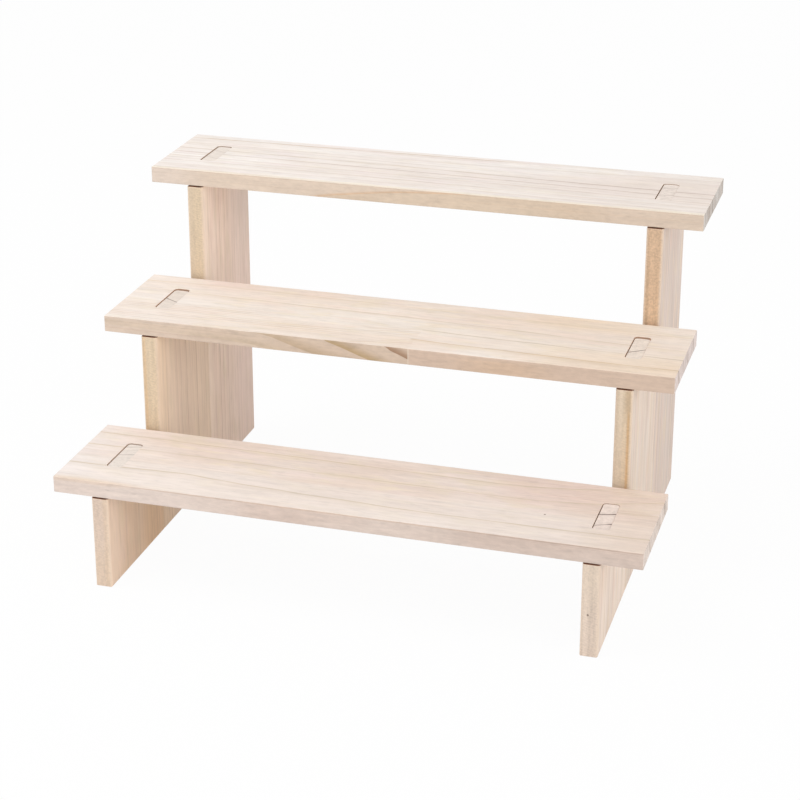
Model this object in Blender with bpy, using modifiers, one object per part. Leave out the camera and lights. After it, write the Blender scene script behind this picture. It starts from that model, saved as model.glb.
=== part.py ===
"""Tiered desk shelf: three free-standing benches of planed softwood, set one behind another.

Each bench is a shelf board on two upright legs. A tenon on top of each leg passes through a mortise
in the board, so the board lifts straight off, and the benches pull apart because nothing joins them.
The origin is at ground level in the middle of the footprint: +X to the right, +Y to the back, +Z up.
"""
import bmesh
import bpy
from mathutils import Matrix

# Driving dimensions, in metres
SHELF_LENGTH = 0.400
SHELF_DEPTH = 0.090
LEG_BACK_REACH = 0.003
SHELF_THICKNESS = 0.0115
LEG_THICKNESS = 0.012
LOW_SHELF_HEIGHT = 0.078
TIER_RISE = 0.081
END_OVERHANG = 0.0268
TENON_WIDTH = 0.038
TENON_THICKNESS = 0.011
TENON_RECESS = 0.0004
MORTISE_CORNER_RADIUS = 0.0028
SHELF_EDGE_EASE = 0.0006
LEG_EDGE_EASE = 0.0016

# Clearances, in metres
BENCH_GAP = 0.0005
TENON_CLEARANCE = 0.0004
SEAT_GAP = 0.0003

# Facets along each rounding
EASE_SEGMENTS = 3
CORNER_SEGMENTS = 5

TIERS = ("low", "middle", "high")
SIDES = {"left": -1, "right": 1}

# Bare softwood: the shelf boards are creamier than the legs
SHELF_COLOUR = (0.79, 0.67, 0.55)
LEG_COLOUR = (0.70, 0.54, 0.40)
WOOD_ROUGHNESS = 0.62

# Boards and legs are flush at the front of a bench, and the legs reach further back
LEG_DEPTH = SHELF_DEPTH + LEG_BACK_REACH
BENCH_PITCH = LEG_DEPTH + BENCH_GAP
SHELF_CENTRE = -LEG_BACK_REACH / 2
LEG_OFFSET = SHELF_LENGTH / 2 - END_OVERHANG - LEG_THICKNESS / 2
TENON_CORNER_RADIUS = MORTISE_CORNER_RADIUS - TENON_CLEARANCE
TENON_ROOT = SHELF_THICKNESS


def clear_scene():
    for item in list(bpy.data.objects):
        bpy.data.objects.remove(item, do_unlink=True)


def add_collection(name):
    collection = bpy.data.collections.new(name)
    bpy.context.scene.collection.children.link(collection)
    return collection


def bare_wood(name, colour):
    material = bpy.data.materials.new(name)
    material.use_nodes = True
    shader = material.node_tree.nodes["Principled BSDF"]
    shader.inputs["Base Color"].default_value = (*colour, 1.0)
    shader.inputs["Roughness"].default_value = WOOD_ROUGHNESS
    shader.inputs["Metallic"].default_value = 0.0
    material.diffuse_color = (*colour, 1.0)
    return material


def add_block(name, size, collection):
    """A box with its origin in the middle of its base."""
    bpy.ops.mesh.primitive_cube_add(size=1.0)
    block = bpy.context.active_object
    block.name = name
    block.data.name = name
    block.data.transform(Matrix.Diagonal((*size, 1.0)) @ Matrix.Translation((0, 0, 0.5)))
    for holder in list(block.users_collection):
        holder.objects.unlink(block)
    collection.objects.link(block)
    return block


def round_uprights(block, radius):
    """Round the four upright edges of a box."""
    shape = bmesh.new()
    shape.from_mesh(block.data)
    uprights = []
    for edge in shape.edges:
        low, high = edge.verts
        if low.co.xy == high.co.xy:
            uprights.append(edge)
    bmesh.ops.bevel(shape, geom=uprights, affect="EDGES", offset=radius,
                    segments=CORNER_SEGMENTS, profile=0.5)
    shape.to_mesh(block.data)
    shape.free()


def ease_edges(block, ease):
    bevel = block.modifiers.new("eased_edges", "BEVEL")
    bevel.width = ease
    bevel.segments = EASE_SEGMENTS


def combine(piece, tool, operation):
    """Cut a tool from a piece, or join it on, and keep the tool as a wire guide."""
    boolean = piece.modifiers.new(tool.name, "BOOLEAN")
    boolean.operation = operation
    boolean.solver = "EXACT"
    boolean.object = tool
    tool.hide_render = True
    tool.display_type = "WIRE"


def place(piece, bench, location):
    piece.parent = bench
    piece.location = location


def add_shelf_board(tier, bench, top_height, wood):
    """A shelf board with a through mortise over each leg."""
    underside = top_height - SHELF_THICKNESS
    board = add_block(f"{tier}_shelf_board", (SHELF_LENGTH, SHELF_DEPTH, SHELF_THICKNESS), pieces)
    board.data.materials.append(wood)
    place(board, bench, (0, SHELF_CENTRE, underside))
    ease_edges(board, SHELF_EDGE_EASE)
    mortise_size = (TENON_THICKNESS + 2 * TENON_CLEARANCE,
                    TENON_WIDTH + 2 * TENON_CLEARANCE,
                    3 * SHELF_THICKNESS)
    for side, sign in SIDES.items():
        mortise = add_block(f"{tier}_{side}_mortise", mortise_size, cutters)
        round_uprights(mortise, MORTISE_CORNER_RADIUS)
        place(mortise, bench, (sign * LEG_OFFSET, SHELF_CENTRE, underside - SHELF_THICKNESS))
        combine(board, mortise, "DIFFERENCE")


def add_leg(tier, side, bench, top_height, wood):
    """An upright leg, with a tenon on its top under the middle of the shelf board."""
    shoulder = top_height - SHELF_THICKNESS - SEAT_GAP
    tenon_base = shoulder - TENON_ROOT
    tenon_top = top_height - TENON_RECESS
    leg_x = SIDES[side] * LEG_OFFSET
    leg = add_block(f"{tier}_{side}_leg", (LEG_THICKNESS, LEG_DEPTH, shoulder), pieces)
    leg.data.materials.append(wood)
    place(leg, bench, (leg_x, 0, 0))
    ease_edges(leg, LEG_EDGE_EASE)
    tenon = add_block(f"{tier}_{side}_tenon", (TENON_THICKNESS, TENON_WIDTH, tenon_top - tenon_base), cutters)
    round_uprights(tenon, TENON_CORNER_RADIUS)
    place(tenon, bench, (leg_x, SHELF_CENTRE, tenon_base))
    combine(leg, tenon, "UNION")


def add_bench(tier, place_in_row, shelf_wood, leg_wood):
    """One bench of the row, on an empty at ground level in the middle of its legs."""
    bench = bpy.data.objects.new(f"{tier}_bench", None)
    bench.location = (0, (place_in_row - (len(TIERS) - 1) / 2) * BENCH_PITCH, 0)
    pieces.objects.link(bench)
    top_height = LOW_SHELF_HEIGHT + place_in_row * TIER_RISE
    add_shelf_board(tier, bench, top_height, shelf_wood)
    for side in SIDES:
        add_leg(tier, side, bench, top_height, leg_wood)


clear_scene()
pieces = add_collection("tiered_desk_shelf")
cutters = add_collection("tiered_desk_shelf_cutters")
shelf_softwood = bare_wood("shelf_softwood", SHELF_COLOUR)
leg_softwood = bare_wood("leg_softwood", LEG_COLOUR)
for row_place, tier_name in enumerate(TIERS):
    add_bench(tier_name, row_place, shelf_softwood, leg_softwood)
bpy.context.view_layer.update()
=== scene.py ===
import math

import bpy
from mathutils import Matrix, Vector


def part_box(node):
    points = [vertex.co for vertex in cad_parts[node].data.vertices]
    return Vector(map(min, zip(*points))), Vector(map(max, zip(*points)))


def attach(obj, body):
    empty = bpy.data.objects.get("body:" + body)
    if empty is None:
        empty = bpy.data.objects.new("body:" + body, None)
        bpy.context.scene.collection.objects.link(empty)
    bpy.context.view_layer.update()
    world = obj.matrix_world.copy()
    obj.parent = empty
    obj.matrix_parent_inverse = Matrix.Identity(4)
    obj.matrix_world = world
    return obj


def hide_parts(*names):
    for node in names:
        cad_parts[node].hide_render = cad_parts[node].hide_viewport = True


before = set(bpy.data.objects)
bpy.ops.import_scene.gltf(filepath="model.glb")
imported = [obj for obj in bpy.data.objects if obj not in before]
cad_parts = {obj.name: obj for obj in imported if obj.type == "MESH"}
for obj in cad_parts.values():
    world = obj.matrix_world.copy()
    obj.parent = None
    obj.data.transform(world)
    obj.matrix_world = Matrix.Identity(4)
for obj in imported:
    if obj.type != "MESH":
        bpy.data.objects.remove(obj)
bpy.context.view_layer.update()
print("frame loaded:", len(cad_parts), "nodes")


# selecting and shaping

def clearSelection():
    if bpy.context.mode != "OBJECT":
        bpy.ops.object.mode_set(mode="OBJECT")
    bpy.ops.object.select_all(action="DESELECT")


def workOn(piece):
    clearSelection()
    piece.select_set(True)
    bpy.context.view_layer.objects.active = piece


def addBlock(name, low, high):
    clearSelection()
    bpy.ops.mesh.primitive_cube_add(size=1, location=(low + high) / 2, scale=high - low)
    block = bpy.context.active_object
    block.name = name
    bpy.ops.object.transform_apply(location=True, rotation=True, scale=True)
    return block


def pickEdges(piece, wanted):
    workOn(piece)
    bpy.ops.object.mode_set(mode="EDIT")
    bpy.ops.mesh.select_mode(type="EDGE")
    bpy.ops.mesh.select_all(action="DESELECT")
    bpy.ops.object.mode_set(mode="OBJECT")
    points = piece.data.vertices
    for edge in piece.data.edges:
        start, end = edge.vertices
        edge.select = wanted(points[start].co, points[end].co)
    bpy.ops.object.mode_set(mode="EDIT")


def roundPicked(width, steps):
    bpy.ops.mesh.bevel(offset=width, segments=steps, profile=0.5, affect="EDGES")
    bpy.ops.object.mode_set(mode="OBJECT")


def movePoints(piece, wanted, move):
    workOn(piece)
    bpy.ops.object.mode_set(mode="EDIT")
    bpy.ops.mesh.select_mode(type="VERT")
    bpy.ops.mesh.select_all(action="DESELECT")
    bpy.ops.object.mode_set(mode="OBJECT")
    for point in piece.data.vertices:
        point.select = wanted(point.co)
    bpy.ops.object.mode_set(mode="EDIT")
    bpy.ops.transform.translate(value=move)
    bpy.ops.object.mode_set(mode="OBJECT")


# eases the edges of a block, each by its own share of the widest ease
def easeEdges(piece, widest, steps, easeOf):
    workOn(piece)
    weights = piece.data.attributes.new("bevel_weight_edge", "FLOAT", "EDGE")
    points = piece.data.vertices
    for edge in piece.data.edges:
        start, end = (points[corner].co for corner in edge.vertices)
        weights.data[edge.index].value = easeOf((start + end) / 2, end - start) / widest
    ease = piece.modifiers.new("easedEdges", "BEVEL")
    ease.limit_method = "WEIGHT"
    ease.width = widest
    ease.segments = steps
    ease.use_clamp_overlap = False
    bpy.ops.object.modifier_apply(modifier=ease.name)
    piece.data.attributes.remove(piece.data.attributes["bevel_weight_edge"])


def combine(piece, tool, operation):
    workOn(piece)
    joiner = piece.modifiers.new(tool.name, "BOOLEAN")
    joiner.operation = operation
    joiner.solver = "EXACT"
    joiner.object = tool
    bpy.ops.object.modifier_apply(modifier=joiner.name)
    workOn(tool)
    bpy.ops.object.delete()


def copyPiece(piece, name, move):
    workOn(piece)
    bpy.ops.object.duplicate(linked=False)
    copied = bpy.context.active_object
    copied.name = name
    bpy.ops.object.mode_set(mode="EDIT")
    bpy.ops.mesh.select_all(action="SELECT")
    bpy.ops.transform.translate(value=move)
    bpy.ops.object.mode_set(mode="OBJECT")
    return copied


def smoothRoundings(piece):
    workOn(piece)
    bpy.ops.object.shade_smooth_by_angle(angle=math.radians(40))
    weight = piece.modifiers.new("flatFaces", "WEIGHTED_NORMAL")
    weight.keep_sharp = True
    weight.weight = 100
    bpy.ops.object.modifier_apply(modifier=weight.name)


# shelf board: planed all round, with a routed slot over each leg
boardShape = {
    "longEase": 0.0005,        # arrises along the board
    "endEase": 0.0008,         # upright corners of the sawn ends
    "easeSteps": 3,
    "mortiseLength": 0.0388,
    "mortiseWidth": 0.0114,
    "mortiseCorner": 0.0028,   # left by the router bit
    "cornerSteps": 6,
    "cutterReach": 0.01,       # how far the cutter stands out above and below
    "rimReach": 0.0005,        # how far from the slot its rim is looked for
    "besideSlot": 0.008,       # half the width of the strip that holds a slot
    "slotSpan": (0.022, 0.070),       # where the strip begins and ends behind the board's front
    "backWallSpan": (0.010, 0.0215),  # where the slot's back is, behind the middle of the board
    "rimBreak": 0.0002,
    "legOffset": 0.1672,
    "lowReach": 0.0003,        # how far each board's slots were cut too long behind
    "middleReach": 0.0016,
    "highReach": 0.0001,
}


def mortiseCutter(low, high, side):
    middle = (low + high) / 2
    halfWidth = boardShape["mortiseWidth"] / 2
    halfLength = boardShape["mortiseLength"] / 2
    centreX = side * boardShape["legOffset"]
    cutter = addBlock(
        "mortiseCutter",
        Vector((centreX - halfWidth, middle.y - halfLength, low.z - boardShape["cutterReach"])),
        Vector((centreX + halfWidth, middle.y + halfLength, high.z + boardShape["cutterReach"])),
    )
    pickEdges(cutter, lambda start, end: abs(start.z - end.z) > 0.01)
    roundPicked(boardShape["mortiseCorner"], boardShape["cornerSteps"])
    return cutter


def boardEase(middle, span):
    return boardShape["endEase"] if abs(span.z) > 0.001 else boardShape["longEase"]


def makeBoard(name, node):
    low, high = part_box(node)
    board = addBlock(name, low, high)
    easeEdges(board, boardShape["endEase"], boardShape["easeSteps"], boardEase)
    for side in (-1, 1):
        combine(board, mortiseCutter(low, high, side), "DIFFERENCE")
    reach = boardShape["mortiseLength"] / 2 + boardShape["rimReach"]
    wide = boardShape["mortiseWidth"] / 2 + boardShape["rimReach"]
    middleY = (low.y + high.y) / 2

    def onRim(point):
        besideLeg = abs(abs(point.x) - boardShape["legOffset"]) < wide
        onFace = min(abs(point.z - low.z), abs(point.z - high.z)) < 0.00001
        return besideLeg and onFace and abs(point.y - middleY) < reach

    pickEdges(board, lambda start, end: onRim(start) and onRim(end) and start.z == end.z)
    roundPicked(boardShape["rimBreak"], 2)
    return board


def lengthenMortises(board, node, reach):
    low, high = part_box(node)
    middleY = (low.y + high.y) / 2
    nearest, farthest = boardShape["backWallSpan"]

    def onBackWall(point):
        besideLeg = abs(abs(point.x) - boardShape["legOffset"]) < boardShape["besideSlot"]
        return besideLeg and nearest < point.y - middleY < farthest

    movePoints(board, onBackWall, (0, reach, 0))


# leg: rounded in front, left square behind, with its tenon on top
legShape = {
    "frontEase": 0.0025,
    "shoulderEase": 0.0008,
    "backEase": 0.0004,
    "footEase": 0.0006,
    "easeSteps": 5,
    "tenonHeight": 0.0121,     # from the shoulder to the tenon's end
    "tenonRoot": 0.006,        # how far the tenon block starts below the shoulder
    "tenonLength": 0.0380,
    "tenonWidth": 0.0106,
    "tenonCorner": 0.0023,
    "cornerSteps": 6,
    "tenonBreak": 0.0002,
    "tenonSide": 0.0003,       # it sits nearer the right wall of the mortise
    "tenonFront": 0.0002,      # and nearer the front wall
    "rightFit": 0.00015,       # the right tenons fill their slots better
    "lowRightFit": 0.0006,     # and two of them behind as well
    "highRightFit": 0.0005,
    "tenonSideFrom": 0.002,    # its left side and back are looked for from here,
    "tenonBackFrom": 0.0162,   # out from the middle of the leg and of the board,
    "tenonReach": 0.0205,      # to here
    "shoulderSpan": (0.015, 0.006),   # strip below the tenon's end that holds the shoulder
    "footHeight": 0.03,        # what is above this goes up on the taller legs
}


def makeLeg(name, node, board):
    low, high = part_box(node)
    middle = (low + high) / 2
    boardLow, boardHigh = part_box(board)
    tenonX = middle.x + legShape["tenonSide"]
    tenonY = (boardLow.y + boardHigh.y) / 2 - legShape["tenonFront"]
    shoulder = high.z - legShape["tenonHeight"]
    leg = addBlock(name, low, Vector((high.x, high.y, shoulder)))

    def legEase(place, span):
        if abs(span.z) > 0.01:
            return legShape["frontEase"] if place.y < middle.y else legShape["backEase"]
        return legShape["shoulderEase"] if place.z > middle.z else legShape["footEase"]

    easeEdges(leg, legShape["frontEase"], legShape["easeSteps"], legEase)
    halfWidth = legShape["tenonWidth"] / 2
    halfLength = legShape["tenonLength"] / 2
    tenon = addBlock(
        "tenon",
        Vector((tenonX - halfWidth, tenonY - halfLength, shoulder - legShape["tenonRoot"])),
        Vector((tenonX + halfWidth, tenonY + halfLength, high.z)),
    )
    pickEdges(tenon, lambda start, end: abs(start.z - end.z) > 0.001)
    roundPicked(legShape["tenonCorner"], legShape["cornerSteps"])
    pickEdges(tenon, lambda start, end: min(start.z, end.z) > high.z - 0.0001)
    roundPicked(legShape["tenonBreak"], 2)
    combine(leg, tenon, "UNION")
    return leg


# moves the left side and the back of a tenon outwards
def widenTenon(piece, node, board, backFit):
    low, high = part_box(node)
    boardLow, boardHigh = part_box(board)
    middleX = (low.x + high.x) / 2
    middleY = (boardLow.y + boardHigh.y) / 2
    root = high.z - legShape["tenonHeight"] - legShape["shoulderEase"]
    sideFrom = middleX - legShape["tenonSideFrom"]
    backFrom = legShape["tenonBackFrom"]
    reach = legShape["tenonReach"]

    def onTenonSide(point):
        return point.z > root and point.x < sideFrom and abs(point.y - middleY) < reach

    def onTenonBack(point):
        return point.z > root and backFrom < point.y - middleY < reach

    movePoints(piece, onTenonSide, (-legShape["rightFit"], 0, 0))
    movePoints(piece, onTenonBack, (0, backFit, 0))


# wood nodes

def srgb(red, green, blue):
    def linear(value):
        value = value / 255
        return value / 12.92 if value <= 0.04045 else ((value + 0.055) / 1.055) ** 2.4
    return linear(red), linear(green), linear(blue), 1.0


def feed(tree, socket, value):
    if isinstance(value, bpy.types.NodeSocket):
        tree.links.new(value, socket)
    else:
        socket.default_value = value


def calc(tree, operation, *values):
    step = tree.nodes.new("ShaderNodeMath")
    step.operation = operation
    for socket, value in zip(step.inputs, values):
        feed(tree, socket, value)
    return step.outputs[0]


def times(tree, *values):
    product = values[0]
    for value in values[1:]:
        product = calc(tree, "MULTIPLY", product, value)
    return product


def ramp(tree, value, start, end, low=0.0, high=1.0):
    step = tree.nodes.new("ShaderNodeMapRange")
    step.interpolation_type = "SMOOTHSTEP"
    for name, amount in (("Value", value), ("From Min", start), ("From Max", end), ("To Min", low),
                         ("To Max", high)):
        feed(tree, step.inputs[name], amount)
    return step.outputs["Result"]


def within(tree, value, start, end, soft):
    rise = ramp(tree, value, start - soft, start + soft)
    return times(tree, rise, ramp(tree, value, end - soft, end + soft, 1.0, 0.0))


def mixColour(tree, amount, first, second):
    step = tree.nodes.new("ShaderNodeMix")
    step.data_type = "RGBA"
    feed(tree, step.inputs[0], amount)
    feed(tree, step.inputs[6], first)
    feed(tree, step.inputs[7], second)
    return step.outputs[2]


def mixValue(tree, amount, first, second):
    step = tree.nodes.new("ShaderNodeMix")
    feed(tree, step.inputs[0], amount)
    feed(tree, step.inputs[2], first)
    feed(tree, step.inputs[3], second)
    return step.outputs[0]


def stretched(tree, vector, scale, offset):
    step = tree.nodes.new("ShaderNodeMapping")
    feed(tree, step.inputs["Vector"], vector)
    step.inputs["Scale"].default_value = scale
    step.inputs["Location"].default_value = offset
    return step.outputs["Vector"]


def noise(tree, vector, scale, seed, detail=2.0, roughness=0.5):
    step = tree.nodes.new("ShaderNodeTexNoise")
    moved = stretched(tree, vector, scale, (seed * 3.7, seed * 1.9, seed * 2.3))
    feed(tree, step.inputs["Vector"], moved)
    step.inputs["Scale"].default_value = 1.0
    step.inputs["Detail"].default_value = detail
    step.inputs["Roughness"].default_value = roughness
    return step.outputs["Fac"]


def signed(tree, value, amount):
    return times(tree, calc(tree, "SUBTRACT", value, 0.5), amount)


# how fine the figure of the wood is along, across and through the plank, per metre
figureScale = {
    "sway": (9, 12, 12),
    "tremble": (45, 25, 25),
    "broken": (28, 90, 90),
    "patchy": (16, 70, 70),
    "fibre": (30, 1300, 1300),
    "cloud": (9, 30, 30),
    "blush": (28, 90, 90),
    "straw": (34, 110, 110),
    "chatter": (60, 200, 200),
    "pores": (60, 900, 900),
    "endStreak": (320, 1, 1),
}
patchRise = (0.5, 0.68)        # where in the noise the blush and straw patches begin
swayReach = 0.005              # how far the lines of the wood wander, slowly
trembleReach = 0.0014          # and quickly
faceReach = 110                # in mm, past any curve drawn on a broad face
edgeReach = 40                 # and on a long edge
bumpDepth = 0.0001


# a smooth curve drawn through (mm, mm) points, over the length of the plank
def drawnCurve(tree, space, points, reach):
    step = tree.nodes.new("ShaderNodeFloatCurve")
    drawn = step.mapping
    drawn.extend = "HORIZONTAL"
    half = space["length"] / 2
    spots = [((along + half) / space["length"], across / reach) for along, across in points]
    stops = drawn.curves[0].points
    stops[0].location = spots[0]
    stops[-1].location = spots[-1]
    for along, across in spots[1:-1]:
        stops.new(along, across)
    drawn.update()
    feed(tree, step.inputs["Value"], space["run"])
    return times(tree, step.outputs["Value"], reach / 1000)


# where a point is in its plank: along, across and through it, in metres
def plankSpace(tree, node, order, seed):
    low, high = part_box(node)
    size = high - low
    place = tree.nodes.new("ShaderNodeTexCoord")
    split = tree.nodes.new("ShaderNodeSeparateXYZ")
    feed(tree, split.inputs[0], stretched(tree, place.outputs["Object"], (1, 1, 1), -(low + high) / 2))
    facing = tree.nodes.new("ShaderNodeSeparateXYZ")
    feed(tree, facing.inputs[0], place.outputs["Normal"])
    along, across, through = (split.outputs[axis] for axis in order)
    joined = tree.nodes.new("ShaderNodeCombineXYZ")
    for socket, value in zip(joined.inputs, (along, across, through)):
        feed(tree, socket, value)
    grain = joined.outputs[0]
    sway = signed(tree, noise(tree, grain, figureScale["sway"], seed + 7, 2.0), swayReach)
    tremble = signed(tree, noise(tree, grain, figureScale["tremble"], seed + 8, 2.0), trembleReach)
    return {
        "length": size[order[0]] * 1000,
        "along": along,
        "through": through,
        "grain": grain,
        "run": calc(tree, "MULTIPLY_ADD", along, 1 / size[order[0]], 0.5),
        "front": calc(tree, "ADD", across, size[order[1]] / 2),
        "below": calc(tree, "SUBTRACT", size[order[2]] / 2, through),
        "sway": calc(tree, "ADD", sway, tremble),
        "tremble": tremble,
        "endFace": ramp(tree, calc(tree, "ABSOLUTE", facing.outputs[order[0]]), 0.6, 0.85),
        "edgeFace": ramp(tree, calc(tree, "ABSOLUTE", facing.outputs[order[1]]), 0.35, 0.95),
        "broadFace": ramp(tree, calc(tree, "ABSOLUTE", facing.outputs[order[2]]), 0.3, 0.6),
        "arris": within(tree, calc(tree, "ABSOLUTE", facing.outputs[order[1]]), 0.3, 0.9, 0.12),
    }


# one line of late wood on the face: crisp on its far side, fading on the near side
def growthLine(tree, space, line, seed):
    path = drawnCurve(tree, space, line["path"], faceReach)
    gap = calc(tree, "SUBTRACT", space["front"], path)
    gap = calc(tree, "ADD", gap, space["tremble"])
    gap = calc(tree, "MULTIPLY_ADD", space["below"], -line.get("slope", 0.5), gap)
    reach = calc(tree, "DIVIDE", gap, line["width"] / 1000)
    core = times(tree, ramp(tree, reach, -0.8, 0.0), ramp(tree, reach, 0.1, 0.7, 1.0, 0.0))
    glow = times(tree, ramp(tree, reach, -5.0, 0.0), ramp(tree, reach, 0.1, 0.7, 1.0, 0.0),
                 line.get("glow", 0.2))
    broken = noise(tree, space["grain"], figureScale["broken"], seed, 2.0)
    amount = times(tree, calc(tree, "MAXIMUM", core, glow), ramp(tree, broken, 0.3, 0.62, 0.5, 1.0),
                   line["amount"])
    if "span" in line:
        amount = times(tree, amount, within(tree, space["along"], *line["span"],
                                            line.get("spanSoft", 0.001)))
    return amount


# close lines between the bold ones
def fineLines(tree, space, fine, slant, seed):
    lean = calc(tree, "MULTIPLY_ADD", space["along"], -fine["lean"], space["front"])
    if "lift" in fine:
        start, height = fine["lift"]
        rise = ramp(tree, space["along"], start / 1000, start / 1000 + 0.07)
        lean = calc(tree, "MULTIPLY_ADD", rise, -height / 1000, lean)
    lean = calc(tree, "ADD", lean, space["sway"])
    lean = calc(tree, "MULTIPLY_ADD", space["through"], slant, lean)
    count = calc(tree, "DIVIDE", lean, fine["spacing"] / 1000)
    share = calc(tree, "FRACT", count)
    chance = tree.nodes.new("ShaderNodeTexWhiteNoise")
    chance.noise_dimensions = "1D"
    feed(tree, chance.inputs["W"], calc(tree, "ADD", calc(tree, "FLOOR", count), seed))
    body = times(tree, ramp(tree, share, 0.15, 0.75), ramp(tree, share, 0.8, 1.0, 1.0, 0.0))
    patchy = noise(tree, space["grain"], figureScale["patchy"], seed + 0.7, 2.0)
    amount = times(tree, body, ramp(tree, patchy, 0.38, 0.62),
                   ramp(tree, chance.outputs["Value"], 0.0, 1.0, 0.3, 1.0))
    return times(tree, amount, fine["amount"])


frontHalf = 0.045              # what lies nearer the front than this is on the front edge


# a ring that runs out on the edge of a board: darkest just over its boundary, fading upwards
def edgeRing(tree, space, ring):
    boundary = drawnCurve(tree, space, ring["path"], edgeReach)
    over = calc(tree, "SUBTRACT", boundary, space["below"])
    over = calc(tree, "MULTIPLY_ADD", space["tremble"], 0.35, over)
    inside = ramp(tree, over, 0.0, 0.0003)
    fade = ramp(tree, over, 0.0, ring["fade"] / 1000, 1.0, ring.get("rest", 0.0))
    started = ramp(tree, boundary, 0.0, 0.0004)
    amount = times(tree, inside, fade, started, ring["amount"])
    if "span" in ring:
        amount = times(tree, amount, within(tree, space["along"], *ring["span"], 0.012))
    return times(tree, amount, calc(tree, "LESS_THAN", space["front"], frontHalf))


# a pin knot: a small dark oval
def pinKnot(tree, along, across, knot):
    alongGap = calc(tree, "DIVIDE", calc(tree, "SUBTRACT", along, knot["along"] / 1000),
                    knot["size"][0] / 1000)
    acrossGap = calc(tree, "DIVIDE", calc(tree, "SUBTRACT", across, knot["across"] / 1000),
                     knot["size"][1] / 1000)
    apart = calc(tree, "ADD", times(tree, alongGap, alongGap), times(tree, acrossGap, acrossGap))
    return ramp(tree, apart, 0.25, 1.0, knot["amount"], 0.0)


# painted shade: the walls of the slots in a board, and the shoulder of a leg, are darker than planed
# wood, standing for the shade in the narrow gaps of the joints
def paintedJointShade(tree, space, look):
    if look["jointShadeOn"] == "slots":
        aside = calc(tree, "SUBTRACT", calc(tree, "ABSOLUTE", space["along"]), boardShape["legOffset"])
        inSlot = calc(tree, "LESS_THAN", calc(tree, "ABSOLUTE", aside), boardShape["besideSlot"])
        inSlot = times(tree, inSlot, within(tree, space["front"], *boardShape["slotSpan"], 0.0005))
        return times(tree, inSlot, calc(tree, "SUBTRACT", 1.0, space["broadFace"]))
    top = space["length"] / 2000
    fromTop, toTop = legShape["shoulderSpan"]
    onShoulder = within(tree, space["along"], top - fromTop, top - toTop, 0.0002)
    return times(tree, onShoulder, space["endFace"])


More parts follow.
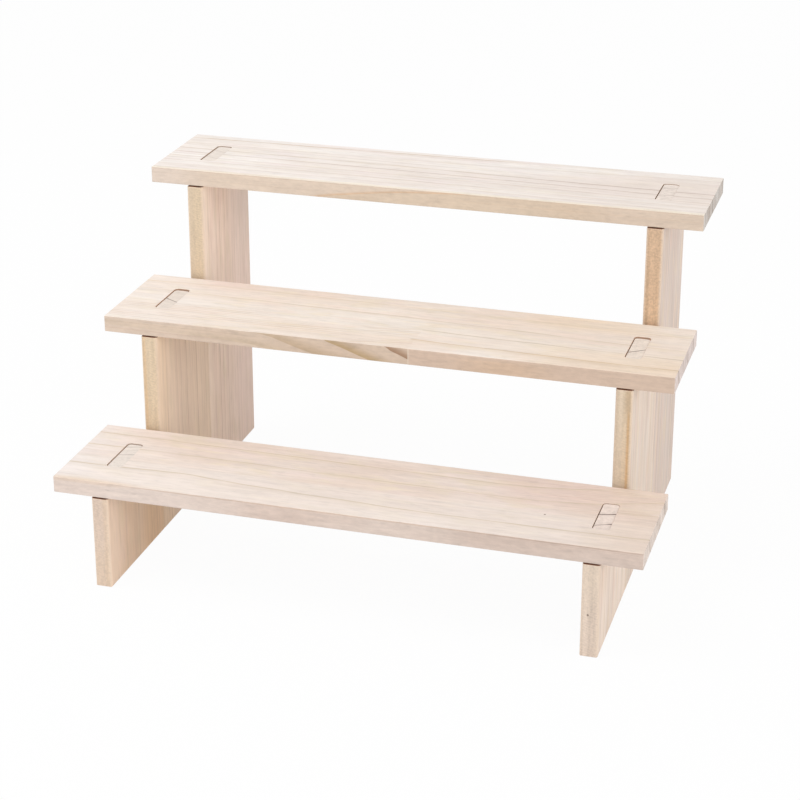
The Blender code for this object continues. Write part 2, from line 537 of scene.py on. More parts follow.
def woodMaterial(name, node, order, look):
    material = bpy.data.materials.new(name)
    material.use_nodes = True
    tree = material.node_tree
    shader = tree.nodes["Principled BSDF"]
    seed = look["seed"]
    space = plankSpace(tree, node, order, seed)
    grain = space["grain"]
    fibre = noise(tree, grain, figureScale["fibre"], seed + 1, 3.0, 0.6)
    streak = noise(tree, grain, look["streakScale"], seed + 2, 3.0, 0.6)
    mottle = noise(tree, grain, look["mottleScale"], seed + 12, 3.0, 0.65)
    cloud = noise(tree, grain, figureScale["cloud"], seed + 3, 2.0)
    blush = noise(tree, grain, figureScale["blush"], seed + 5, 2.0)
    straw = noise(tree, grain, figureScale["straw"], seed + 6, 2.0)
    dashes = ramp(tree, noise(tree, grain, look["dashScale"], seed + 14, 2.0), 0.54, 0.7)

    # broad faces
    face = mixColour(tree, ramp(tree, cloud, 0.35, 0.65), look["pale"], look["warm"])
    face = mixColour(tree, ramp(tree, blush, *patchRise, 0.0, look["patches"]), face, look["blush"])
    face = mixColour(tree, ramp(tree, straw, *patchRise, 0.0, look["patches"]), face, look["straw"])
    for zone in look.get("zones", []):
        amount = times(tree, within(tree, space["along"], *zone["along"], zone["soft"][0]),
                       within(tree, space["front"], *zone["front"], zone["soft"][1]), zone["amount"])
        face = mixColour(tree, amount, face, zone["tone"])
    endFine = []
    for number, fine in enumerate(look["fineLines"]):
        amount = fineLines(tree, space, fine, look["endSlant"], seed + 20 + number)
        if "zone" in fine:
            alongZone, frontZone = fine["zone"]
            amount = times(tree, amount, within(tree, space["along"], *alongZone,
                                                fine.get("zoneSoft", 0.0006)),
                           within(tree, space["front"], *frontZone, 0.003))
        face = mixColour(tree, amount, face, fine["tone"])
        endFine.append(amount)
    for number, line in enumerate(look["growthLines"]):
        face = mixColour(tree, growthLine(tree, space, line, seed + 30 + number), face, line["tone"])
    for knot in look.get("faceKnots", []):
        face = mixColour(tree, pinKnot(tree, space["along"], space["front"], knot), face,
                         look["knotTone"])

    # long edges
    edge = mixColour(tree, ramp(tree, cloud, 0.35, 0.65), look["edgePale"], look["edgeWarm"])
    for ring in look.get("edgeRings", []):
        edge = mixColour(tree, edgeRing(tree, space, ring), edge, ring["tone"])
    for stripe in look.get("edgeStripes", []):
        waver = calc(tree, "MULTIPLY_ADD", space["tremble"], 0.5, space["below"])
        amount = times(tree, within(tree, waver, *stripe["below"], stripe["soft"][1]),
                       within(tree, space["along"], *stripe["along"], stripe["soft"][0]),
                       stripe["amount"])
        edge = mixColour(tree, amount, edge, stripe["tone"])
    for knot in look.get("edgeKnots", []):
        onFront = calc(tree, "LESS_THAN", space["front"], frontHalf)
        amount = times(tree, onFront, pinKnot(tree, space["along"], space["through"], knot))
        edge = mixColour(tree, amount, edge, look["knotTone"])
    # faint marks of the saw across the edge
    chatter = signed(tree, noise(tree, grain, figureScale["chatter"], seed + 9, 2.0), 5.0)
    phase = calc(tree, "ADD", calc(tree, "MULTIPLY_ADD", space["along"], look["sawPitch"], chatter),
                 times(tree, space["through"], look["sawPitch"] * 0.3))
    ripple = times(tree, calc(tree, "SINE", phase), ramp(tree, blush, 0.35, 0.65),
                   within(tree, space["below"], *look["sawZone"], 0.001))
    flecks = ramp(tree, noise(tree, grain, look["fleckScale"], seed + 10, 2.0, 0.6), 0.35, 0.65, -1.0,
                  1.0)

    # sawn ends
    pores = noise(tree, grain, figureScale["pores"], seed + 11, 2.0, 0.7)
    end = mixColour(tree, ramp(tree, pores, 0.5, 0.75, 0.0, 0.35), look["endTone"], look["endPore"])
    slant = tree.nodes.new("ShaderNodeCombineXYZ")
    feed(tree, slant.inputs[0], calc(tree, "MULTIPLY_ADD", space["through"], look["endSlant"],
                                     space["front"]))
    endStreak = noise(tree, slant.outputs[0], figureScale["endStreak"], seed + 13, 3.0, 0.65)
    for amount in endFine:
        end = mixColour(tree, times(tree, amount, look["endFine"]), end, look["endLine"])
    for number, line in enumerate(look.get("endLines", look["growthLines"])):
        amount = times(tree, growthLine(tree, space, line, seed + 30 + number), look["endRing"])
        end = mixColour(tree, amount, end, look["endLine"])

    colour = mixColour(tree, space["edgeFace"], face, edge)
    # painted highlight: the rounded arrises are lighter, where they catch the light
    if "arrisHighlightTone" in look:
        colour = mixColour(tree, times(tree, space["arris"], look["arrisHighlightAmount"]), colour,
                           look["arrisHighlightTone"])
    colour = mixColour(tree, space["endFace"], colour, end)
    # painted shade of the joints' gaps, on the slot walls and the leg shoulders
    colour = mixColour(tree, paintedJointShade(tree, space, look), colour, look["jointShadeTone"])
    shade = calc(tree, "ADD", signed(tree, fibre, look["fibreAmount"]),
                 signed(tree, streak, look["streakAmount"]))
    shade = calc(tree, "ADD", shade, signed(tree, mottle, look["mottleAmount"]))
    shade = calc(tree, "MULTIPLY_ADD", dashes, -look["dashAmount"], shade)
    marks = calc(tree, "ADD", times(tree, ripple, look["sawAmount"]),
                 times(tree, flecks, look["fleckAmount"]))
    shade = calc(tree, "ADD", shade, times(tree, marks, space["edgeFace"]))
    shade = calc(tree, "ADD", shade, times(tree, signed(tree, endStreak, look["endStreak"]),
                                           space["endFace"]))
    tone = tree.nodes.new("ShaderNodeHueSaturation")
    feed(tree, tone.inputs["Value"], calc(tree, "ADD", shade, 1.0))
    feed(tree, tone.inputs["Color"], colour)
    feed(tree, shader.inputs["Base Color"], tone.outputs["Color"])

    rough = calc(tree, "ADD", signed(tree, fibre, 0.16), look["roughness"])
    feed(tree, shader.inputs["Roughness"], calc(tree, "MULTIPLY_ADD", space["endFace"], 0.1, rough))
    shader.inputs["Specular IOR Level"].default_value = 0.35

    height = calc(tree, "ADD", times(tree, fibre, 0.5), times(tree, ripple, space["edgeFace"], 0.15))
    bump = tree.nodes.new("ShaderNodeBump")
    bump.inputs["Strength"].default_value = 0.3
    bump.inputs["Distance"].default_value = bumpDepth
    feed(tree, bump.inputs["Height"], mixValue(tree, space["endFace"], height, pores))
    feed(tree, shader.inputs["Normal"], bump.outputs["Normal"])
    return material


def finishPiece(piece, node, body, order, look):
    smoothRoundings(piece)
    piece.data.materials.clear()
    piece.data.materials.append(woodMaterial(piece.name + "Wood", node, order, look))
    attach(piece, body)
    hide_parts(node)
    print("made", piece.name, len(piece.data.polygons), "faces")


alongBoard = (0, 1, 2)
alongLeg = (2, 1, 0)


# a patch of another tone on the broad faces (on the left legs, painted light and shade): its reach
# along and from the front, both edges' softness
def facePatch(along, front, soft, amount, tone):
    return {"along": along, "front": front, "soft": soft, "amount": amount, "tone": srgb(*tone)}


# a stripe on the long edges: its reach along and below the top, both edges' softness
def edgeStripe(along, below, soft, amount, tone):
    return {"along": along, "below": below, "soft": soft, "amount": amount, "tone": srgb(*tone)}


# what the three boards share
boardLook = {
    "streakScale": (12, 280, 280), "streakAmount": 0.24,
    "mottleScale": (80, 240, 240), "mottleAmount": 0.2,
    "dashScale": (90, 420, 420), "dashAmount": 0.06,
    "patches": 0.4,
    "blush": srgb(240, 222, 216), "straw": srgb(236, 222, 196),
    # painted shade on the walls of the slots
    "jointShadeOn": "slots", "jointShadeTone": srgb(204, 182, 166),
    "knotTone": srgb(120, 96, 80),
    "sawPitch": 3400.0, "sawAmount": 0.0, "sawZone": (-0.01, 0.02),
    "fleckScale": (200, 500, 500), "fleckAmount": 0.03,
    "endTone": srgb(216, 204, 192), "endPore": srgb(190, 174, 160),
    "endLine": srgb(158, 138, 122), "endRing": 1.2, "endFine": 2.2, "endStreak": 0.8, "endSlant": 0.6,
    "fibreAmount": 0.08, "roughness": 0.6,
}
olive = srgb(212, 194, 168)
tan = srgb(212, 184, 150)

# low shelf board: few, wide rings, bending round something behind its right end
lowBoardLook = dict(
    boardLook, seed=1.0,
    pale=srgb(238, 225, 216), warm=srgb(233, 216, 204),
    zones=[
        facePatch((-0.21, 0.21), (-0.01, 0.039), (0.03, 0.002), 0.6, (238, 228, 220)),
        facePatch((0.09, 0.165), (0.05, 0.1), (0.02, 0.01), 0.45, (231, 205, 194)),
        facePatch((-0.25, -0.185), (-0.01, 0.1), (0.02, 0.001), 0.5, (240, 234, 232)),
        facePatch((0.16, 0.25), (-0.01, 0.1), (0.03, 0.001), 0.5, (227, 205, 188)),
        facePatch((-0.21, -0.14), (-0.01, 0.003), (0.02, 0.003), 0.5, (225, 197, 164)),
    ],
    fineLines=[
        {"spacing": 5.2, "lean": 0.0, "amount": 0.15, "tone": srgb(222, 200, 180)},
        {"spacing": 3.4, "lean": 0.015, "amount": 0.22, "tone": srgb(224, 204, 190)},
        {"spacing": 2.6, "lean": 0.12, "amount": 0.45, "tone": srgb(214, 184, 168),
         "zone": ((0.115, 0.25), (0.045, 0.1)), "zoneSoft": 0.025},
    ],
    growthLines=[
        {"path": [(-200, 77), (-100, 76.3), (0, 74.8), (50, 74.1), (100, 74), (125, 77),
                  (150, 81.5), (165, 86), (200, 96)],
         "width": 1.4, "amount": 0.9, "tone": olive},
        {"path": [(-200, 56.5), (-125, 57.2), (-50, 56), (0, 55.4), (60, 55), (110, 55.4),
                  (132, 57), (157, 61), (175, 67), (200, 75)],
         "width": 1.4, "amount": 0.8, "tone": olive},
        {"path": [(-200, 25.6), (-160, 26.5), (-118, 28.3), (-90, 25.5), (-50, 22.5), (-25, 20.9),
                  (0, 20.2), (25, 18.5), (75, 17.7), (125, 17.8), (200, 19.4)],
         "width": 1.7, "amount": 0.8, "tone": srgb(208, 191, 166)},
        {"path": [(-200, 39.5), (200, 39)], "width": 0.8, "amount": 0.25, "glow": 0.8,
         "tone": srgb(224, 204, 186)},
        {"path": [(150, 50), (175, 53), (200, 54)], "span": (0.16, 0.21), "spanSoft": 0.02,
         "width": 1.4, "amount": 0.6, "tone": olive},
    ],
    faceKnots=[{"along": 128.7, "across": 36.9, "size": (0.9, 0.8), "amount": 0.9}],
    endTone=srgb(228, 214, 204),
    edgePale=srgb(229, 211, 199), edgeWarm=srgb(223, 202, 189),
    edgeStripes=[
        edgeStripe((-0.21, -0.15), (-0.001, 0.0022), (0.02, 0.0008), 0.7, (221, 187, 148)),
        edgeStripe((-0.25, -0.09), (-0.01, 0.02), (0.06, 0.001), 0.6, (237, 221, 211)),
        edgeStripe((0.06, 0.25), (-0.01, 0.02), (0.04, 0.001), 0.4, (211, 191, 178)),
        edgeStripe((-0.15, 0.1), (0.0002, 0.0011), (0.03, 0.0003), 0.4, (205, 175, 148)),
        edgeStripe((0.1, 0.21), (0.0003, 0.0011), (0.03, 0.0003), 0.6, (187, 161, 142)),
        edgeStripe((0.12, 0.19), (0.0018, 0.0022), (0.01, 0.0003), 0.3, (194, 166, 150)),
    ],
    edgeKnots=[{"along": -161, "across": 0.6, "size": (2.2, 0.6), "amount": 0.14},
               {"along": -142, "across": 0.3, "size": (2.4, 0.6), "amount": 0.14}],
)

# middle shelf board: glued up from a rear stave and two front staves, butted end to end
jointAt = 0.0200
middleBoardLook = dict(
    boardLook, seed=2.0,
    pale=srgb(240, 230, 220), warm=srgb(237, 222, 209),
    # painted shade on this board's slot walls is darker
    blush=srgb(241, 220, 206), jointShadeTone=srgb(204, 168, 144),
    zones=[
        facePatch((0.09, 0.165), (0.068, 0.095), (0.02, 0.006), 0.5, (240, 218, 190)),
        facePatch((-0.25, -0.12), (-0.01, 0.1), (0.06, 0.001), 0.3, (240, 234, 231)),
        facePatch((0.11, 0.25), (-0.01, 0.032), (0.05, 0.01), 0.6, (236, 213, 188)),
        facePatch((-0.155, -0.115), (0.075, 0.095), (0.012, 0.006), 0.4, (236, 210, 198)),
    ],
    fineLines=[
        {"spacing": 6.0, "lean": -0.02, "amount": 0.14, "tone": srgb(224, 204, 180)},
        {"spacing": 3.6, "lean": -0.035, "amount": 0.22, "tone": srgb(226, 206, 188)},
        {"spacing": 3.1, "lean": 0.035, "lift": (-40, 9), "amount": 0.6, "tone": srgb(216, 192, 166),
         "zone": ((-0.21, jointAt), (-0.01, 0.040))},
    ],
    endTone=srgb(223, 208, 202),
    growthLines=[
        {"path": [(-200, 77), (-150, 79), (-100, 78.6), (0, 76.5), (75, 74.5), (150, 73),
                  (200, 72.5)],
         "width": 2.4, "amount": 0.5, "tone": srgb(220, 202, 176)},
        {"path": [(-200, 62), (-158, 60.6), (-125, 60), (-87, 59.1), (-50, 57.8), (0, 57.2),
                  (50, 54.4), (75, 53.8), (100, 52.1), (125, 50.2), (155, 48.8), (200, 47.5)],
         "width": 1.4, "amount": 0.75, "tone": olive},
        {"path": [(0, 37), (20, 36.5), (50, 35), (100, 33.5), (150, 32.2), (200, 31.5)],
         "span": (0.02, 0.21),
         "width": 1.4, "amount": 0.8, "tone": srgb(200, 184, 162), "glow": 0.1},
        {"path": [(0, 18.4), (15, 18.1), (38, 16.5), (88, 15), (138, 13.1), (200, 12.7)],
         "span": (0.017, 0.21),
         "width": 1.6, "amount": 0.85, "tone": srgb(208, 182, 146), "glow": 0.35},
        {"path": [(-30, 27), (-5, 32), (20, 38)], "span": (-0.02, 0.02), "spanSoft": 0.01, "width": 0.9,
         "amount": 0.45, "tone": tan},
    ],
    edgePale=srgb(220, 200, 181), edgeWarm=srgb(215, 193, 173),
    edgeRings=[
        {"path": [(-200, 6.0), (-164, 6.6), (-127, 7.9), (-107, 8.6), (-92, 9.5), (-82, 11),
                  (-60, 17), (-20, 30), (200, 39)],
         "fade": 6, "amount": 0.5, "tone": srgb(202, 179, 146)},
        {"path": [(-200, 0), (-98, 0), (-89, 0.6), (-79, 1.9), (-71.5, 4.1), (-63, 6.8), (-55, 9.2),
                  (-50, 10.6), (-47, 11.5), (-25, 17), (20, 30), (200, 39)],
         "fade": 10, "amount": 0.65, "tone": srgb(192, 166, 133)},
        {"path": [(-200, 0), (-41, 0), (-37, 1.3), (-29, 3.8), (-20.5, 6.8), (-14, 9.2),
                  (-9.5, 10.6), (-7, 11.5), (6, 16), (20, 21), (200, 39)],
         "fade": 8.5, "amount": 0.85, "tone": srgb(185, 157, 116)},
        {"path": [(-200, 0), (1.5, 0), (7.5, 2.7), (14.8, 5.6), (20, 7.9), (30, 14), (200, 39)],
         "fade": 9, "amount": 1.0, "tone": srgb(171, 138, 112)},
    ],
    edgeStripes=[
        edgeStripe((-0.25, -0.11), (-0.01, 0.02), (0.06, 0.001), 0.5, (230, 211, 195)),
        edgeStripe((-0.21, -0.09), (0.0028, 0.0033), (0.02, 0.0003), 0.3, (196, 169, 137)),
        edgeStripe((-0.21, -0.12), (0.0078, 0.0083), (0.02, 0.0003), 0.35, (199, 168, 145)),
        edgeStripe((jointAt - 0.0001, 0.21), (-0.01, 0.02), (0.0001, 0.001), 1.0, (216, 192, 173)),
        edgeStripe((0.06, 0.11), (0.002, 0.012), (0.02, 0.002), 0.35, (220, 187, 153)),
        edgeStripe((jointAt - 0.0001, jointAt + 0.0006), (-0.01, 0.02), (0.0001, 0.001), 0.6,
                   (231, 218, 201)),
    ],
)

# high shelf board: whiter, with many faint rings and one that runs out along its front edge
highRunOut = [(-200, 30), (-110, 20), (-71, 11), (-66, 10.1), (-54, 8.4), (-42, 6.6), (-27, 4.8),
              (-2, 2.6), (18, 1.4), (38, 0.5), (57, 0), (200, 0)]
highBoardLook = dict(
    boardLook, seed=5.0,
    pale=srgb(242, 235, 229), warm=srgb(237, 227, 219),
    # painted shade on this board's slot walls
    blush=srgb(240, 226, 224), straw=srgb(238, 228, 212), jointShadeTone=srgb(188, 162, 142),
    zones=[
        facePatch((-0.21, 0.21), (-0.01, 0.0035), (0.02, 0.0015), 0.5, (240, 227, 199)),
        facePatch((0.06, 0.21), (0.028, 0.06), (0.04, 0.008), 0.4, (232, 219, 211)),
        facePatch((0.13, 0.25), (0.02, 0.075), (0.03, 0.01), 0.4, (230, 213, 200)),
        facePatch((-0.21, -0.1), (0.08, 0.1), (0.05, 0.006), 0.35, (230, 226, 221)),
    ],
    fineLines=[
        {"spacing": 5.0, "lean": -0.018, "amount": 0.35, "tone": srgb(215, 199, 186)},
        {"spacing": 2.3, "lean": -0.02, "amount": 0.4, "tone": srgb(220, 202, 190)},
    ],
    growthLines=[
        {"path": [(-200, 81), (-120, 82.3), (-75, 83), (-25, 83.7), (25, 84.6), (200, 87)],
         "span": (-0.21, 0.05), "spanSoft": 0.04,
         "width": 1.8, "amount": 0.95, "tone": srgb(206, 184, 162)},
        {"path": [(-200, 67), (-75, 68.3), (0, 69.7), (75, 72.8), (127, 75.8), (200, 79)],
         "width": 1.6, "amount": 0.5, "tone": srgb(214, 197, 184)},
        {"path": [(0, 52), (25, 51.2), (75, 49), (127, 47.9), (200, 46.5)], "span": (0.05, 0.21),
         "spanSoft": 0.03,
         "width": 1.6, "amount": 1.0, "tone": srgb(192, 172, 160)},
        {"path": [(-200, 54.5), (-127, 53.9), (-75, 53.5), (-25, 52.5), (25, 51.2), (75, 49),
                  (200, 46.5)], "span": (-0.21, 0.05),
         "spanSoft": 0.03, "width": 1.6, "amount": 0.9, "tone": srgb(204, 187, 168)},
        {"path": [(-200, 44.5), (-127, 43.6), (-75, 42.9), (-25, 42.2), (25, 40.7), (75, 39.8),
                  (127, 38.3), (200, 36.5)],
         "width": 1.5, "amount": 0.9, "tone": srgb(204, 185, 172)},
        {"path": [(-200, 34), (-127, 33.2), (-75, 32.6), (25, 31), (75, 29.8), (127, 27.9),
                  (200, 26)],
         "width": 1.5, "amount": 0.7, "tone": srgb(208, 189, 176)},
        {"path": [(-200, 22.5), (-75, 21.4), (-25, 20.3), (75, 17.6), (127, 16.5), (200, 15)],
         "width": 1.4, "amount": 0.6, "tone": srgb(212, 195, 178)},
        {"path": [(-200, 12.5), (-75, 11.9), (25, 10.5), (75, 9.2), (127, 7.3), (200, 5.5)],
         "width": 1.4, "amount": 0.55, "tone": srgb(212, 195, 184)},
    ],
    endTone=srgb(204, 197, 190),
    edgePale=srgb(223, 204, 183), edgeWarm=srgb(220, 199, 177),
    edgeRings=[
        {"path": highRunOut, "fade": 14, "rest": 1.0, "amount": 0.85, "tone": srgb(226, 208, 191)},
        {"path": highRunOut, "fade": 2.4, "amount": 0.75, "span": (-0.085, 0.04),
         "tone": srgb(218, 180, 141)},
    ],
    edgeStripes=[
        edgeStripe((-0.25, -0.17), (-0.01, 0.02), (0.02, 0.001), 0.5, (230, 215, 204)),
        edgeStripe((0.125, 0.25), (-0.01, 0.02), (0.025, 0.001), 0.5, (224, 206, 191)),
        edgeStripe((-0.21, 0.21), (0.0003, 0.0009), (0.01, 0.0003), 0.3, (206, 182, 158)),
        edgeStripe((-0.21, -0.09), (0.0035, 0.0041), (0.02, 0.0004), 0.25, (206, 184, 166)),
        edgeStripe((-0.18, -0.07), (0.0068, 0.0073), (0.02, 0.0004), 0.25, (208, 186, 164)),
        edgeStripe((0.03, 0.21), (0.0052, 0.0058), (0.03, 0.0004), 0.2, (208, 178, 148)),
    ],
)

lowBoard = makeBoard("lowBoard", "low_shelf_board")
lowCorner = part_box("low_shelf_board")[0]
middleBoard = copyPiece(lowBoard, "middleBoard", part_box("middle_shelf_board")[0] - lowCorner)
highBoard = copyPiece(lowBoard, "highBoard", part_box("high_shelf_board")[0] - lowCorner)
lengthenMortises(lowBoard, "low_shelf_board", boardShape["lowReach"])
lengthenMortises(middleBoard, "middle_shelf_board", boardShape["middleReach"])
lengthenMortises(highBoard, "high_shelf_board", boardShape["highReach"])
finishPiece(lowBoard, "low_shelf_board", "low_shelf", alongBoard, lowBoardLook)
finishPiece(middleBoard, "middle_shelf_board", "middle_shelf", alongBoard,
            middleBoardLook)
finishPiece(highBoard, "high_shelf_board", "high_shelf", alongBoard, highBoardLook)

# what the six legs share: sawn fronts, and closer rings than the boards
legLook = {
    "streakScale": (5, 280, 280), "streakAmount": 0.36,
    "mottleScale": (50, 260, 260), "mottleAmount": 0.16,
    "dashScale": (40, 380, 380), "dashAmount": 0.06,
    "patches": 0.4,
    "blush": srgb(228, 200, 184), "straw": srgb(228, 208, 180),
    "knotTone": srgb(100, 76, 62),
    # painted shade on the shoulder, in the gap under the board
    "jointShadeOn": "shoulder", "jointShadeTone": srgb(152, 108, 82),
    # painted highlight on the rounded arrises of the legs
    "arrisHighlightTone": srgb(240, 218, 196), "arrisHighlightAmount": 0.5,
    "sawPitch": 3400.0, "sawAmount": 0.03, "sawZone": (-0.01, 0.02),
    "fleckScale": (640, 720, 720), "fleckAmount": 0.055,
    "endTone": srgb(234, 220, 210), "endPore": srgb(210, 194, 180),
    "endLine": srgb(104, 84, 76), "endRing": 1.0, "endFine": 0.2, "endStreak": 0.3,
    "fibreAmount": 0.08, "roughness": 0.6,
    "fineLines": [{"spacing": 4.2, "lean": 0.012, "amount": 0.3, "tone": srgb(206, 178, 156)}],
    "growthLines": [],
}


# a ring that runs up the side of a leg, so far behind its front
def sideLine(front, amount, width=1.2):
    return {"path": [(-125, front - 0.5), (125, front + 0.5)], "width": width, "amount": amount,
            "tone": srgb(188, 156, 130), "glow": 0.3, "slope": 0.3}


halfThickness = 6              # of a leg, in mm


# a ring seen on the end of a tenon, so far behind the front of the leg in the middle of its thickness
def endLine(front, slope, amount):
    onFace = front - slope * halfThickness
    return {"path": [(-30, onFace), (30, onFace)], "width": 1.5, "amount": amount, "slope": slope,
            "glow": 0.1}


legLooks = {
    "low_left": dict(
        legLook, seed=11.0, streakAmount=0.18,
        pale=srgb(235, 209, 185), warm=srgb(230, 201, 174),
        edgePale=srgb(229, 207, 189), edgeWarm=srgb(224, 201, 183),
        # painted light and shade: lighter near the front, darker towards the back, as the light falls
        # off under the board
        zones=[
            facePatch((-0.05, 0.05), (-0.01, 0.018), (0.01, 0.008), 0.6, (241, 215, 193)),
            facePatch((-0.05, 0.05), (0.058, 0.1), (0.01, 0.016), 0.6, (231, 196, 157)),
        ],
        growthLines=[sideLine(29, 0.4), sideLine(46, 0.3), sideLine(50, 0.4), sideLine(72, 0.45),
                     sideLine(82, 0.4)],
        edgeStripes=[
            edgeStripe((-0.05, 0.05), (-0.001, 0.0036), (0.01, 0.0012), 0.45, (229, 202, 173)),
            edgeStripe((-0.05, -0.012), (-0.001, 0.013), (0.014, 0.001), 0.4, (227, 202, 175)),
        ],
        endLines=[endLine(47, -0.3, 0.4), endLine(60, -0.3, 0.4)], endSlant=-0.3,
        endTone=srgb(233, 223, 214),
    ),
    "low_right": dict(
        legLook, seed=13.3, streakAmount=0.45,
        pale=srgb(235, 218, 204), warm=srgb(231, 212, 196),
        edgePale=srgb(231, 212, 195), edgeWarm=srgb(226, 206, 189),
        growthLines=[sideLine(9, 0.25), sideLine(21, 0.3), sideLine(34, 0.25), sideLine(50, 0.3)],
        edgeStripes=[
            edgeStripe((0.004, 0.05), (-0.001, 0.013), (0.016, 0.001), 0.45, (229, 211, 189)),
        ],
        edgeKnots=[{"along": -8.9, "across": -1.1, "size": (1.0, 0.8), "amount": 0.75}],
        endLines=[endLine(33.4, -0.42, 1.0), endLine(49.0, -0.32, 1.0)], endSlant=-0.37,
        endTone=srgb(236, 220, 210),
    ),
    "middle_left": dict(
        legLook, seed=15.6, streakAmount=0.18,
        pale=srgb(242, 218, 194), warm=srgb(236, 212, 188),
        edgePale=srgb(229, 208, 180), edgeWarm=srgb(225, 202, 172),
        # painted light and shade: lighter near the front, darker behind it, as the light falls off
        # under the board
        zones=[
            facePatch((-0.09, 0.09), (-0.01, 0.016), (0.01, 0.003), 0.5, (245, 219, 189)),
            facePatch((-0.09, 0.09), (0.024, 0.064), (0.01, 0.008), 0.4, (222, 197, 177)),
            facePatch((-0.09, 0.09), (0.07, 0.1), (0.01, 0.006), 0.3, (234, 210, 188)),
        ],
        growthLines=[sideLine(10.5, 0.2, 2.0), sideLine(15.5, 0.45), sideLine(34.5, 0.3),
                     sideLine(41, 0.12), sideLine(52.5, 0.8), sideLine(64, 0.2),
                     sideLine(71.5, 0.6), sideLine(81, 0.12), sideLine(88, 0.4)],
        sawAmount=0.05, sawZone=(0.001, 0.006),
        edgeStripes=[
            edgeStripe((-0.09, 0.09), (0.0086, 0.0112), (0.01, 0.0007), 0.45, (224, 188, 143)),
            edgeStripe((-0.09, 0.09), (0.0044, 0.0062), (0.01, 0.0008), 0.4, (234, 214, 185)),
        ],
        endLines=[endLine(43.5, 0.6, 0.75)], endSlant=0.6,
        endTone=srgb(229, 217, 206),
    ),
    "middle_right": dict(
        legLook, seed=17.9, streakAmount=0.45,
        pale=srgb(229, 213, 199), warm=srgb(225, 207, 191),
        edgePale=srgb(226, 205, 178), edgeWarm=srgb(220, 198, 170),
        growthLines=[sideLine(12, 0.3), sideLine(24, 0.2), sideLine(36, 0.25), sideLine(48, 0.3),
                     sideLine(61, 0.25), sideLine(77, 0.3)],
        edgeStripes=[
            edgeStripe((-0.09, 0.052), (0.0016, 0.0034), (0.006, 0.0007), 0.75, (212, 171, 123)),
            edgeStripe((0.05, 0.09), (0.0012, 0.0046), (0.006, 0.001), 0.5, (191, 162, 127)),
            edgeStripe((-0.09, 0.09), (0.0062, 0.0112), (0.01, 0.0016), 0.4, (226, 211, 193)),
        ],
        endLines=[endLine(40.4, -0.7, 0.9)], endSlant=-0.7,
        endTone=srgb(236, 222, 209),
    ),
    "high_left": dict(
        legLook, seed=20.2, streakAmount=0.18,
        pale=srgb(245, 223, 206), warm=srgb(243, 218, 200),
        edgePale=srgb(224, 203, 175), edgeWarm=srgb(220, 197, 169),
        # painted light and shade: lighter near the front, darker towards the back and darkest at the
        # upper back, in the shade under the high board
        zones=[
            facePatch((-0.13, 0.13), (-0.01, 0.010), (0.01, 0.003), 0.6, (249, 229, 209)),
            facePatch((-0.13, 0.045), (0.055, 0.1), (0.03, 0.014), 0.5, (246, 222, 211)),
            facePatch((0.045, 0.16), (0.055, 0.1), (0.03, 0.014), 0.5, (224, 204, 195)),
        ],
        growthLines=[sideLine(9, 0.15), sideLine(14, 0.15, 2.4), sideLine(25, 0.6),
                     sideLine(31.5, 0.55), sideLine(41.5, 0.45), sideLine(49, 0.25),
                     sideLine(61, 0.25), sideLine(79, 0.25)],
        sawAmount=0.05, sawZone=(0.001, 0.007),
        edgeStripes=[
            edgeStripe((-0.13, 0.13), (0.0075, 0.0112), (0.01, 0.0012), 0.4, (220, 201, 179)),
        ],
        endLines=[endLine(36, 0.4, 0.28), endLine(53, 0.4, 0.28)], endSlant=0.4,
        endTone=srgb(231, 220, 210),
    ),
    "high_right": dict(
        legLook, seed=22.5, streakAmount=0.8,
        pale=srgb(219, 202, 190), warm=srgb(213, 194, 182),
        edgePale=srgb(211, 180, 150), edgeWarm=srgb(205, 172, 142),
        growthLines=[sideLine(18, 0.2), sideLine(33, 0.2), sideLine(52, 0.2), sideLine(70, 0.2)],
        fleckScale=(680, 740, 740), fleckAmount=0.1,
        edgeStripes=[
            edgeStripe((-0.13, 0.055), (-0.001, 0.013), (0.004, 0.001), 0.5, (223, 190, 157)),
        ],
        endLines=[endLine(38, -0.4, 0.28), endLine(55, -0.4, 0.28)], endSlant=-0.4,
        endTone=srgb(232, 219, 209),
    ),
}


def aboveFoot(point):
    return point.z > legShape["footHeight"]


lowLeftLeg = makeLeg("lowLeftLeg", "low_left_leg", "low_shelf_board")
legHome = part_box("low_left_leg")
legPieces = {"low_left": lowLeftLeg}
for tier in ("low", "middle", "high"):
    for side in ("left", "right"):
        spot = f"{tier}_{side}"
        if spot in legPieces:
            continue
        low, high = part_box(spot + "_leg")
        copied = copyPiece(lowLeftLeg, tier + side.capitalize() + "Leg", low - legHome[0])
        movePoints(copied, aboveFoot, (0, 0, high.z - legHome[1].z))
        legPieces[spot] = copied
for tier in ("low", "middle", "high"):
    backFit = legShape.get(tier + "RightFit", 0.0)
    widenTenon(legPieces[tier + "_right"], tier + "_right_leg", tier + "_shelf_board", backFit)
for spot, piece in legPieces.items():
    tier = spot.split("_")[0]
    finishPiece(piece, spot + "_leg", tier + "_legs", alongLeg, legLooks[spot])

# floor, light and camera
stageSetup = {
    "floorSize": 8.0,
    "floorDrop": 0.0002,       # just clear of the feet
    "floorWhite": 0.88,
    "floorGlow": 0.96,         # share of plain white in what the camera sees of the floor
    "skyStrength": 0.7,
    "topSize": 1.0, "topPlace": (-0.8, -0.5, 1.6), "topPower": 12.0,
    "sideSize": 2.4, "sidePlace": (4.4, -1.6, 1.0), "sidePower": 66.0,
}


def seenDirectly(tree):
    rays = tree.nodes.new("ShaderNodeLightPath")
    mirrored = calc(tree, "MAXIMUM", rays.outputs["Is Glossy Ray"], rays.outputs["Is Transmission Ray"])
    return calc(tree, "MAXIMUM", rays.outputs["Is Camera Ray"], mirrored)


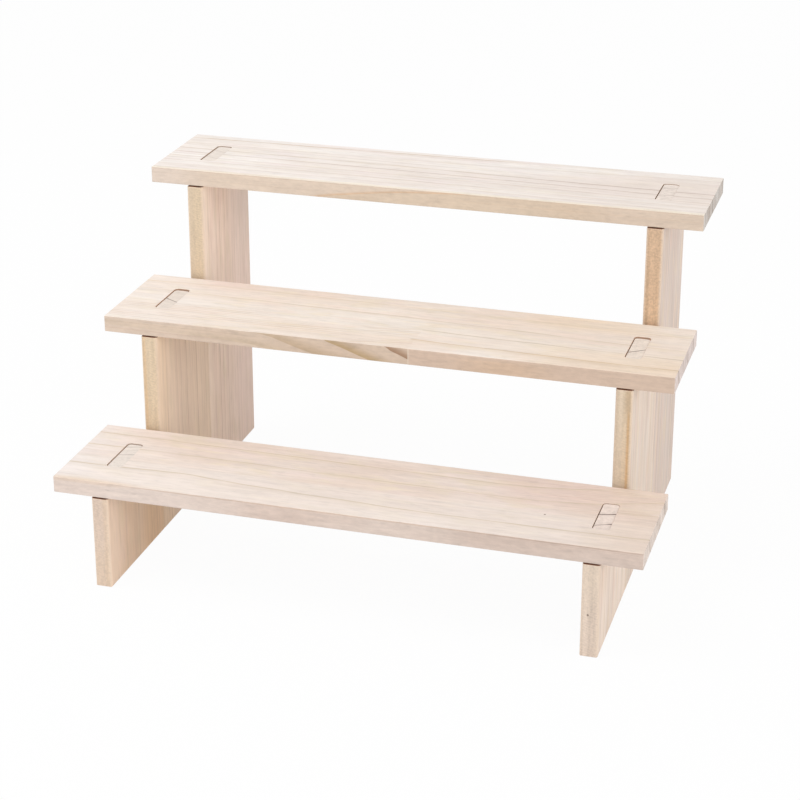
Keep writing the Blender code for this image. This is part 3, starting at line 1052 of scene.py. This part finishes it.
clearSelection()
bpy.ops.mesh.primitive_plane_add(size=stageSetup["floorSize"],
                                 location=(0, 0, -stageSetup["floorDrop"]))
floor = bpy.context.active_object
floor.name = "floor"
floorMaterial = bpy.data.materials.new("paleFloor")
floorMaterial.use_nodes = True
tree = floorMaterial.node_tree
tree.nodes.clear()
matte = tree.nodes.new("ShaderNodeBsdfDiffuse")
matte.inputs["Color"].default_value = (*[stageSetup["floorWhite"]] * 3, 1.0)
glow = tree.nodes.new("ShaderNodeEmission")
both = tree.nodes.new("ShaderNodeMixShader")
feed(tree, both.inputs[0], times(tree, seenDirectly(tree), stageSetup["floorGlow"]))
feed(tree, both.inputs[1], matte.outputs[0])
feed(tree, both.inputs[2], glow.outputs[0])
surface = tree.nodes.new("ShaderNodeOutputMaterial")
feed(tree, surface.inputs["Surface"], both.outputs[0])
floor.data.materials.append(floorMaterial)

world = bpy.data.worlds.new("studio")
bpy.context.scene.world = world
world.use_nodes = True
tree = world.node_tree
tree.nodes.clear()
sky = tree.nodes.new("ShaderNodeBackground")
sky.inputs["Color"].default_value = (1, 1, 1, 1)
feed(tree, sky.inputs["Strength"], mixValue(tree, seenDirectly(tree), stageSetup["skyStrength"], 1.0))
surface = tree.nodes.new("ShaderNodeOutputWorld")
feed(tree, surface.inputs["Surface"], sky.outputs[0])


def addSoftbox(name, place, target, size, power):
    clearSelection()
    bpy.ops.object.light_add(type="AREA", location=place)
    lamp = bpy.context.active_object
    lamp.name = name
    lamp.data.shape = "SQUARE"
    lamp.data.size = size
    lamp.data.energy = power
    lamp.rotation_euler = (Vector(target) - Vector(place)).to_track_quat("-Z", "Y").to_euler()


for side in ("top", "side"):
    addSoftbox(side + "Softbox", stageSetup[side + "Place"], (0, 0, 0.1),
               stageSetup[side + "Size"], stageSetup[side + "Power"])

cameraSetup = {
    "lens": 94.450, "place": (0.3835, -1.2978, 0.6748), "yaw": 16.421, "pitch": 21.356, "roll": 0.043,
    "shiftY": -0.075,
}
clearSelection()
bpy.ops.object.camera_add(location=cameraSetup["place"])
camera = bpy.context.active_object
camera.data.lens = cameraSetup["lens"]
camera.data.sensor_width = 36
camera.data.shift_y = cameraSetup["shiftY"]
turn = Matrix.Rotation(math.radians(cameraSetup["yaw"]), 3, "Z")
tilt = Matrix.Rotation(math.radians(90 - cameraSetup["pitch"]), 3, "X")
roll = Matrix.Rotation(math.radians(cameraSetup["roll"]), 3, "Z")
camera.rotation_euler = (turn @ tilt @ roll).to_euler()
bpy.context.scene.camera = camera
bpy.context.scene.view_settings.view_transform = "Standard"
print("stage, light and camera set")
